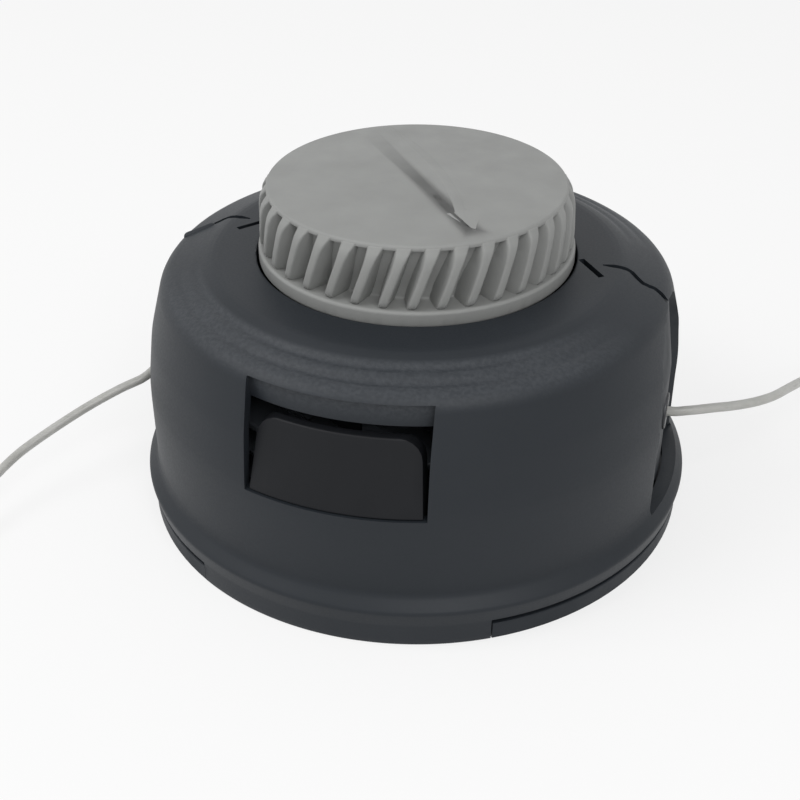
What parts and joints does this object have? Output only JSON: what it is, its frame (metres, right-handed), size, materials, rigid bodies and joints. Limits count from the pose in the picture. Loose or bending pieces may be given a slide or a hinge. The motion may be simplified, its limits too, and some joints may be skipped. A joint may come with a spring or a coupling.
{
  "type": "trimmer head",
  "caption": "Bump-feed line head for a grass trimmer: wide dark housing with latched cap, ribbed bump knob and cutting line leaving from both sides.",
  "frame": {"origin": "middle of the underside of the rim that the head stands on", "axes": "+Z along the spin axis towards the bump knob, -Y towards the front latch, +X towards the right line eyelet"},
  "size_m": [0.1805, 0.1624, 0.0706],
  "materials": {
    "housing_plastic": "moulded, satin",
    "cap_plastic": "moulded, fine spark texture",
    "latch_plastic": "moulded, smooth",
    "spool_plastic": "moulded, smooth",
    "knob_plastic": "moulded, fine grain",
    "line_nylon": "translucent, smooth",
    "eyelet_metal": "turned",
    "spring_steel": "drawn wire",
    "washer_steel": "stamped",
    "nut_steel": "zinc plated"
  },
  "bodies": {
    "housing": {"base_housing": "housing_plastic", "cap": "cap_plastic", "eyelet_right": "eyelet_metal", "eyelet_left": "eyelet_metal", "arbor_nut": "nut_steel", "spring": "spring_steel", "line_end_right": "line_nylon", "line_end_left": "line_nylon"},
    "washer": {"thrust_washer": "washer_steel"},
    "spool": {"spool": "spool_plastic", "bump_knob": "knob_plastic", "winding_lower": "line_nylon", "winding_upper": "line_nylon"},
    "latch_front": {"latch_front": "latch_plastic"},
    "latch_rear": {"latch_rear": "latch_plastic"}
  },
  "joints": [
    {"name": "knob_bump", "type": "slide", "parent": "housing", "child": "washer", "axis": [0, 0, -1], "range_m": [0, 0.006], "stiffness_N_per_m": 2000, "springref_m": -0.006, "deforming": ["spring"]},
    {"name": "spool_turn", "type": "hinge", "parent": "washer", "child": "spool", "pos_m": [0, 0, 0.0303], "axis": [0, 0, 1], "continuous": true},
    {"name": "latch_front_press", "type": "hinge", "parent": "housing", "child": "latch_front", "pos_m": [0, -0.0523, 0.0086], "axis": [-1, 0, 0], "range_deg": [0, 7], "stiffness_Nm_per_rad": 0.6, "springref_deg": -1.72},
    {"name": "latch_rear_press", "type": "hinge", "parent": "housing", "child": "latch_rear", "pos_m": [0, 0.0523, 0.0086], "axis": [1, 0, 0], "range_deg": [0, 7], "stiffness_Nm_per_rad": 0.6, "springref_deg": -1.72}
  ]
}
